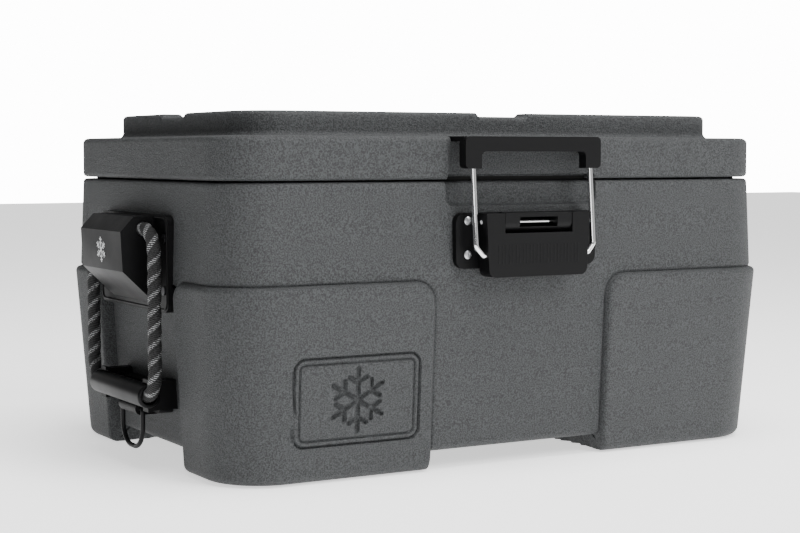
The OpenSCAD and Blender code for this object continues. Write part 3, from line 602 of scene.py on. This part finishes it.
# %% Lid sizes
LID_Z, DECK_Z = RIM_Z + 1.8, lid_high[2]
FLANGE_Z = LID_Z + 43.0
DECK_IN, DECK_R = 36.0, 50.0
BORDER_W, BORDER_H = 26.0, 3.8
PLUG_Z = lid_low[2]
RECESS_X, RECESS_DEPTH = 90.0, 5.0
REBATE_X, REBATE_Z, REBATE_BACK = 84.0, FLANGE_Z - 5.6, 9.5
NOTCH_H, NOTCH_DEPTH = 4.6, 15.0


def lid_row(z, inset, radius, front_cut=True):
    """One row of the lid: a rounded rectangle, set back where the latch's recess and notch are."""
    points, normal = ring(BODY_L / 2 - inset, BODY_W / 2 - inset, radius)
    x = points[:, 0]
    front = (SIDE == 0) & (ARC == 0)
    cut = np.zeros(len(x))
    if front_cut:
        recess = edge_distance(RECESS_X - np.abs(x), np.full(len(x), 99.0), 1.0)
        cut = RECESS_DEPTH * smooth_step(recess / 9)
        if z > REBATE_Z - 0.01:
            cut = np.where(np.abs(x) < REBATE_X, REBATE_BACK, cut)
        if z < LID_Z + NOTCH_H:
            cut = np.where(np.abs(x) < RECESS_X, np.maximum(cut, NOTCH_DEPTH * smooth_step(recess / 2)), cut)
        cut = np.where(front, np.maximum(cut - max(inset - 0.5, 0) * (inset > 5), 0), 0)
    points = points - normal * cut[:, None]
    return np.column_stack([points[:, 0], points[:, 1] + MID_Y, np.full(len(x), float(z))])


rows = []
plug_in = WALL_T + 2.5
plug_ring = lid_row(PLUG_Z, plug_in + 4, TUB_R - 6, False)
for t in np.linspace(0.02, 1, 12)[:-1]:
    flat = centre + (plug_ring[:, :2] - centre) * t
    rows.append(np.column_stack([flat, np.full(len(flat), PLUG_Z)]))
for a in np.linspace(0, 90, 5):
    sink, rise = 4 * (1 - math.sin(math.radians(a))), 4 * (1 - math.cos(math.radians(a)))
    rows.append(lid_row(PLUG_Z + rise, plug_in + sink, TUB_R - 2 - sink, False))
rows.append(lid_row(LID_Z, plug_in, TUB_R - 2, False))
rows.append(lid_row(LID_Z, plug_in - 12, TUB_R + 5, False))
rows.append(lid_row(LID_Z, 15.5, CORNER_R - 8, False))
for a in np.linspace(0, 90, 5):
    sink, rise = 4 * (1 - math.sin(math.radians(a))), 4 * (1 - math.cos(math.radians(a)))
    rows.append(lid_row(LID_Z + rise, sink, CORNER_R - sink * 0.5))
lid_z = [LID_Z + NOTCH_H - 0.02, LID_Z + NOTCH_H + 0.5, LID_Z + 12, LID_Z + 22, LID_Z + 30,
         REBATE_Z - 0.3, REBATE_Z]
rows += [lid_row(z, 0, CORNER_R) for z in lid_z]
for a in np.linspace(0, 90, 6)[1:]:
    sink, rise = 5.6 * (1 - math.cos(math.radians(a))), 5.6 * math.sin(math.radians(a))
    rows.append(lid_row(FLANGE_Z - 5.6 + rise, sink, CORNER_R - sink * 0.3))
rows.append(lid_row(FLANGE_Z, 12, CORNER_R - 4, False))
for a in np.linspace(0, 90, 6):
    sink, rise = 6 * math.sin(math.radians(a)), 6 * (1 - math.cos(math.radians(a)))
    rows.append(lid_row(FLANGE_Z + rise, DECK_IN - 6 + sink, DECK_R + 6 - sink, False))
rows.append(lid_row((FLANGE_Z + DECK_Z) / 2 + 2, DECK_IN, DECK_R, False))


def deck_row(inset, drop):
    """One row on top of the lid: the border stands up except at its breaks and inside it."""
    grid_row = lid_row(DECK_Z, DECK_IN + inset, max(DECK_R - inset, 24.0), False)
    x, y = grid_row[:, 0], grid_row[:, 1] - MID_Y
    along_side = np.where(SIDE % 2 == 0, np.abs(x), np.abs(y))
    break_rise = np.where(ARC > 0, 1.0, smooth_step((along_side - BREAK + 1.5) / 4))
    inner = 1 - smooth_step((inset - BORDER_W + 4) / 6)
    level = DECK_Z - BORDER_H + BORDER_H * break_rise * inner
    grid_row[:, 2] = level - drop
    return grid_row


for a in np.linspace(10, 90, 6):
    rows.append(deck_row(5 * (1 - math.cos(math.radians(a))), 5 * (1 - math.sin(math.radians(a)))))
for inset in (8, 12, 16, 20, 21.5, 23, 24.5, 26, 27.5, 29, 33):
    rows.append(deck_row(inset, 0))
tray_ring = rows[-1]
for t in np.linspace(1, 0.02, 14)[1:]:
    flat = centre + (tray_ring[:, :2] - centre) * t
    rows.append(np.column_stack([flat, np.full(len(flat), DECK_Z - BORDER_H)]))
lid_grid = np.array(rows)
lid_skin = grid_piece("lid_moulding", lid_grid, smooth=50)
lid_skin.data.materials.append(pebbled_polyethylene)
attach(lid_skin, "lid")
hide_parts("lid_shell")
print("lid", lid_grid.shape)

# %% [markdown]
# ## Small mouldings
# The latch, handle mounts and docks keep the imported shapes, but a moulded edge is never sharp. A
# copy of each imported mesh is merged, its flat triangles are dissolved into faces, and a small
# bevel rounds every edge that turns by more than 30 degrees.


# %% Softened copies
def softened(node, width_mm, material, body, name=None, segments=2, angle=30):
    """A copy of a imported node's mesh with its edges rounded; it stands for that node."""
    source = frame["nodes"][node]
    build = bmesh.new()
    build.from_mesh(source.data)
    bmesh.ops.remove_doubles(build, verts=build.verts, dist=1e-6)
    bmesh.ops.dissolve_limit(build, angle_limit=math.radians(1.0), verts=build.verts, edges=build.edges)
    mesh = bpy.data.meshes.new(name or node + "_moulding")
    build.to_mesh(mesh)
    build.free()
    mesh.shade_smooth()
    piece = bpy.data.objects.new(mesh.name, mesh)
    bpy.context.scene.collection.objects.link(piece)
    bevel = piece.modifiers.new("rounded edges", "BEVEL")
    bevel.width = width_mm * MM
    bevel.segments = segments
    bevel.limit_method = "ANGLE"
    bevel.angle_limit = math.radians(angle)
    bevel.harden_normals = True
    mesh.set_sharp_from_angle(angle=math.radians(angle))
    mesh.materials.append(material)
    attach(piece, body)
    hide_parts(node)
    return piece


softened("latch_base", 1.0, black_nylon, "cooler_body")
softened("latch_hook", 1.6, black_nylon, "latch_bail")
softened("latch_lever", 1.4, black_nylon, "latch_lever")
for word in ("left", "right"):
    softened(f"handle_mount_{word}", 1.4, black_nylon, "cooler_body")
    softened(f"grip_dock_{word}", 0.8, black_nylon, "cooler_body")

# %% [markdown]
# ## Rods, loops and ridges
# A bent rod is a round section carried along a path of straight runs and arcs. At each point the
# section is kept square to the path, and turned as little as possible from the one before, so it
# doesn't twist.


# %% Tubes
def bent_path(corners, radii, step=4):
    """Straight runs between corners, with each inner corner rounded to its radius by an arc."""
    p = [np.array(c, float) for c in corners]
    points = [p[0][None, :]]
    for before, here, after, radius in zip(p, p[1:], p[2:], radii):
        u, v = (here - before), (after - here)
        u, v = u / np.linalg.norm(u), v / np.linalg.norm(v)
        turn = math.acos(float(np.clip(u @ v, -1, 1)))
        start = here - u * radius * math.tan(turn / 2)
        side = v - u * (u @ v)
        side /= np.linalg.norm(side)
        a = np.linspace(0, turn, max(3, int(math.degrees(turn) / step)))[:, None]
        points.append(start + radius * np.sin(a) * u + radius * (1 - np.cos(a)) * side)
    return np.vstack(points + [p[-1][None, :]])


def tube_grid(path, radius, sides=20, closed=False):
    """A round section of the given radius carried along a path; closed joins its two ends."""
    path = np.asarray(path, float)
    if closed:
        tangent = np.roll(path, -1, axis=0) - np.roll(path, 1, axis=0)
    else:
        tangent = np.gradient(path, axis=0)
    tangent /= np.linalg.norm(tangent, axis=1)[:, None]
    normal = np.cross(tangent[0], [0.3, 0.5, 0.81])
    normals = []
    for t in tangent:
        normal = normal - t * (normal @ t)
        normal /= np.linalg.norm(normal)
        normals.append(normal)
    normals = np.array(normals)
    across = np.cross(tangent, normals)
    angle = np.linspace(0, 2 * np.pi, sides, endpoint=False)[None, :, None]
    ring = np.cos(angle) * normals[:, None, :] + np.sin(angle) * across[:, None, :]
    return path[:, None, :] + radius * ring


def joined_piece(name, grids, material, body, loop_rows=False, smooth=40.0):
    """One piece made of several closed grids, with its faces turned outwards."""
    points, faces, start = [], [], 0
    for grid in grids:
        rows, cols = grid.shape[:2]
        part = (grid_faces(rows, cols, loop_rows) + start).tolist()
        if not loop_rows:
            part.append([start + k for k in range(cols)][::-1])
            part.append([start + (rows - 1) * cols + k for k in range(cols)])
        points.append(grid.reshape(-1, 3))
        faces += part
        start += rows * cols
    piece = new_piece(name, np.vstack(points), faces, smooth)
    turned = bmesh.new()
    turned.from_mesh(piece.data)
    bmesh.ops.recalc_face_normals(turned, faces=turned.faces)
    turned.to_mesh(piece.data)
    turned.free()
    piece.data.materials.append(material)
    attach(piece, body)
    return piece


def node_box(name):
    """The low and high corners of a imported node, in millimetres."""
    return tuple(np.array(v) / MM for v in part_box(name))


# %% [markdown]
# ## Latch details
# Two chromed rods carry the hook. Each comes straight down from the hook's leg and bends in
# to its hole in the side of the lever. The lever's face has a row of short raised ribs, for
# a thumb to pull on, and each screw has a six-lobed recess.

# %% Rods
rods_low, rods_high = node_box("latch_rods")
ROD_R = 3.0
rod_x = rods_high[0] - ROD_R
rod_z = rods_low[2] + ROD_R
rod_y = rods_low[1] + ROD_R
rod_top = rods_high[2] - 6
rod_top_y = rods_high[1] - ROD_R - 0.4
rod_grids = []
for side in (-1, 1):
    elbow = [side * rod_x, rod_y + (rod_top_y - rod_y) * 0.1, rod_z + 9]
    corners = [[side * rod_x, rod_top_y, rod_top], elbow, [side * (rod_x - 8), rod_y, rod_z],
               [side * (rod_x - 19), rod_y, rod_z]]
    rod_grids.append(tube_grid(bent_path(corners, (6, 5)), ROD_R, 28))
rods = joined_piece("hook_rods", rod_grids, polished_steel, "latch_bail")
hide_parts("latch_rods")
print("rods from", round(float(rod_z), 1), "to", round(float(rod_top), 1))

# %% Ribs on the lever
lever_low = node_box("latch_lever")[0]
RIB_COUNT, RIB_PITCH, RIB_W, RIB_H, RIB_OUT = 24, 4.2, 2.4, 19.0, 0.35
rib_z = lever_low[2] + 23.0
rib_grids = []
for k in range(RIB_COUNT):
    x = (k - (RIB_COUNT - 1) / 2) * RIB_PITCH
    path = [[x, lever_low[1] + RIB_W / 2 - RIB_OUT, rib_z - RIB_H / 2],
            [x, lever_low[1] + RIB_W / 2 - RIB_OUT, rib_z + RIB_H / 2]]
    rib_grids.append(tube_grid(np.linspace(path[0], path[1], 4), RIB_W / 2, 12))
joined_piece("lever_ribs", rib_grids, black_nylon, "latch_lever")
print("ribs", len(rib_grids))


# %% Screw heads with a six-lobed recess
def screw_head(centre, outward, radius, height):
    """A low dome: height falls with the square of the radius, less a six-lobed recess in its middle."""
    outward = np.array(outward, float)
    up = np.array([0.0, 0.0, 1.0])
    across = np.cross(up, outward)
    angle = np.linspace(0, 2 * np.pi, 48, endpoint=False)[None, :]
    far = np.concatenate([np.linspace(0.05, 1, 18), [1.0, 1.0]])[:, None] * radius
    lobe = radius * 0.5 * (1 + 0.16 * np.cos(6 * angle))
    dome = height * (1 - 0.5 * (far / radius) ** 2) - 1.0 * (1 - smooth_step((far - lobe + 0.25) / 0.5))
    dome[-2:] = np.array([[0.1 * height], [-0.4]])
    ring = np.cos(angle)[..., None] * across + np.sin(angle)[..., None] * up
    return np.array(centre, float) + far[..., None] * ring + dome[..., None] * outward


def screw_heads(name, places, outward, radius, height, material, body):
    """A group of screw heads as one piece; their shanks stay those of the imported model."""
    grids = [screw_head(place, outward, radius, height) for place in places]
    return joined_piece(name, grids, material, body, smooth=30)


screws_low, screws_high = node_box("latch_screws")
HEAD_R = 4.2
latch_places = [(x, screws_low[1] + 1.8, z) for x in (screws_low[0] + HEAD_R, screws_high[0] - HEAD_R)
                for z in (screws_low[2] + HEAD_R, screws_high[2] - HEAD_R)]
heads = screw_heads("latch_screw_heads", latch_places, (0, -1, 0), HEAD_R + 0.02, 1.8, satin_steel,
                    "cooler_body")
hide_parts("latch_screws")

# %% [markdown]
# ## End fittings
# The grip is a turned tube with rounded ends, drawn as a closed profile spun about the rope. The
# tie-down loop is one bent wire. A low ridge runs round each mounting plate, and the housing's face
# has a plain snowflake printed on it.

# %% Grips, tie-down loops, ridges and signs
def grip_grid(x, z, half_l, outer, bore):
    """A closed profile of a tube wall, with its outer ends rounded, spun about the y axis."""
    a = np.radians(np.linspace(0, 90, 7))
    edge = 2.6
    bend_r = outer - edge + edge * np.sin(a)
    bend_y = half_l - edge + edge * np.cos(a)
    radius = np.concatenate([[bore, bore], bend_r, bend_r[::-1]])
    along = np.concatenate([[-half_l, half_l], bend_y, -bend_y[::-1]])
    angle = np.linspace(0, 2 * np.pi, 48, endpoint=False)
    return np.stack([x + radius[:, None] * np.cos(angle), MID_Y + along[:, None] + 0 * angle,
                     z + radius[:, None] * np.sin(angle)], axis=-1)


def flake_grids(centre, down, radius):
    """A snowflake of flat-lying round bars on a sloping face; down is the face's downward direction."""
    centre, down = np.array(centre, float), np.array(down, float)
    along_y = np.array([0.0, 1.0, 0.0])
    grids = []

    def bar(start, end, width):
        ends = [centre + along_y * u + down * -v for u, v in (start, end)]
        grids.append(tube_grid(np.linspace(ends[0], ends[1], 3), width, 10))

    for k in range(6):
        a = math.radians(90 + 60 * k)
        tip = np.array([math.cos(a), math.sin(a)]) * radius
        bar((0, 0), tip, 0.95)
        for share in (0.45, 0.7):
            for turn in (-60, 60):
                b = a + math.radians(turn)
                reach = radius * 0.27
                bar(tip * share, tip * share + reach * np.array([math.cos(b), math.sin(b)]), 0.8)
    return grids


light_print, tree, shader = new_material("light_grey_print", Base_Color=colour("#b9babb"), Roughness=0.6)
place = object_place(tree, 1500)
speckle = add(tree, "ShaderNodeTexNoise", {"Scale": 1.0, "Detail": 2.0}, Vector=place)
bump(tree, shader, speckle.outputs["Fac"], 0.3, 0.00005)

GRIP_BORE_R = 8.7
HOUSING_OUT, SIGN_SINK = 43.0, 0.35
for side, word in ((-1, "left"), (1, "right")):
    low, high = node_box(f"handle_grip_{word}")
    grid = grip_grid((low[0] + high[0]) / 2, (low[2] + high[2]) / 2, (high[1] - low[1]) / 2,
                     (high[2] - low[2]) / 2, GRIP_BORE_R)
    grip = joined_piece(f"grip_{word}", [grid], black_grip, f"handle_{word}", loop_rows=True)
    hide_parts(f"handle_grip_{word}")

    low, high = node_box(f"tie_loop_{word}")
    wire = 2.5
    x, leg, foot, top = (low[0] + high[0]) / 2, high[1] - wire - MID_Y, low[2] + wire, high[2] - wire
    corners = [[x, MID_Y + y, z] for y, z in ((leg - 14, top), (leg, top), (leg, foot), (-leg, foot),
                                             (-leg, top), (14 - leg, top))]
    loop = joined_piece(f"wire_loop_{word}", [tube_grid(bent_path(corners, (4, 24, 24, 4)), wire, 20)],
                        powder_coat, f"tie_loop_{word}")
    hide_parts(f"tie_loop_{word}")

    low, high = node_box(f"handle_mount_{word}")
    plate_x = side * (BODY_L / 2 + 8.0)
    inset, bend = 3.0, 8.0
    y0, y1, z0, z1 = low[1] + inset, high[1] - inset, low[2] + inset, high[2] - inset
    corners = [[plate_x, y, z] for y, z in ((MID_Y, z1), (y0, z1), (y0, z0), (y1, z0), (y1, z1), (MID_Y, z1))]
    outline = bent_path(corners, (bend,) * 4)[:-1]
    joined_piece(f"mount_ridge_{word}", [tube_grid(outline, 1.1, 10, closed=True)], black_nylon,
                 "cooler_body", loop_rows=True)

    face_x = side * (BODY_L / 2 + HOUSING_OUT - SIGN_SINK)
    slope = np.array([-side * 2.0, 0, -40.0]) / math.hypot(2, 40)
    joined_piece(f"housing_sign_{word}", flake_grids([face_x, MID_Y, 220.5], slope, 13.0), light_print,
                 "cooler_body")
print("end fittings made for both ends")

# %% [markdown]
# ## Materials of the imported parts
# The hinges, screws, drain and seals are right as packed, so each only gets its finish.

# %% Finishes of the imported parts
FINISH = {"black_plastic": black_nylon, "black_rubber": black_rubber, "black_grip": black_grip,
          "black_wire": powder_coat, "polished_steel": polished_steel, "stainless_steel": satin_steel,
          "blackened_steel": black_oxide,
          "insulating_foam": cream_foam, "grey_polyethylene": pebbled_polyethylene, "braided_rope": laid_rope}
for part in frame["record"]["subparts"]:
    node = frame["nodes"][part["node"]]
    node.data.materials.clear()
    node.data.materials.append(FINISH[part["material_slot"]])

# %% [markdown]
# ## Light and floor
# The floor is a wide pale sheet that gives off a little light. One large soft light stands to the
# front right, a second hangs above, and a weak one fills from the front left. The surroundings are
# dim on the left and brighter on the right, which gives the chrome rods their dark and light sides.
# The backdrop behind the box is shown white, far brighter than it is as a light.

# %% Light and floor
floor_material, tree, shader = new_material("pale_floor", Base_Color=colour("#ffffff"), Roughness=0.9,
                                            Emission_Color=colour("#ffffff"), Emission_Strength=1.0)
FLOOR_HALF, FLOOR_Z = 9000, -0.4
floor_corners = [(x * FLOOR_HALF, y * FLOOR_HALF, FLOOR_Z) for x, y in ((-1, -1), (1, -1), (1, 1), (-1, 1))]
floor = new_piece("floor", floor_corners, [(0, 1, 2, 3)])
floor.data.materials.append(floor_material)
world = bpy.data.worlds.new("studio")
bpy.context.scene.world = world
world.use_nodes = True
tree = world.node_tree
backing = tree.nodes["Background"]
way = add(tree, "ShaderNodeSeparateXYZ", i0=add(tree, "ShaderNodeTexCoord").outputs["Generated"])
across = add(tree, "ShaderNodeMapRange", {"From Min": -0.9, "From Max": 0.7, "To Min": 0.08, "To Max": 0.75},
             Value=way.outputs["X"])
upward = add(tree, "ShaderNodeMapRange", {"From Min": 0.0, "From Max": 0.9, "To Min": 0.8, "To Max": 1.15},
             Value=way.outputs["Z"])
room = math_node(tree, "MULTIPLY", across.outputs["Result"], upward.outputs["Result"])
seen = add(tree, "ShaderNodeLightPath").outputs["Is Camera Ray"]
strength = add(tree, "ShaderNodeMapRange", {"To Max": 14.0}, Value=seen, i3=room)
tree.links.new(strength.outputs["Result"], backing.inputs["Strength"])
backing.inputs["Color"].default_value = (1, 1, 1, 1)


def area_light(name, place, size, watts, target=(0, 0, 180)):
    """A square soft light at a place in millimetres, turned to its target."""
    data = bpy.data.lights.new(name, "AREA")
    data.shape = "SQUARE"
    data.size = size
    data.energy = watts
    light = bpy.data.objects.new(name, data)
    light.location = Vector(place) * MM
    light.rotation_euler = (Vector(target) - Vector(place)).to_track_quat("-Z", "Y").to_euler()
    bpy.context.scene.collection.objects.link(light)
    return light


area_light("key", (900, -2200, 1900), 1.2, 55)
area_light("top", (100, -500, 2500), 1.5, 80)
area_light("corner", (-1500, -2300, 900), 0.9, 12)
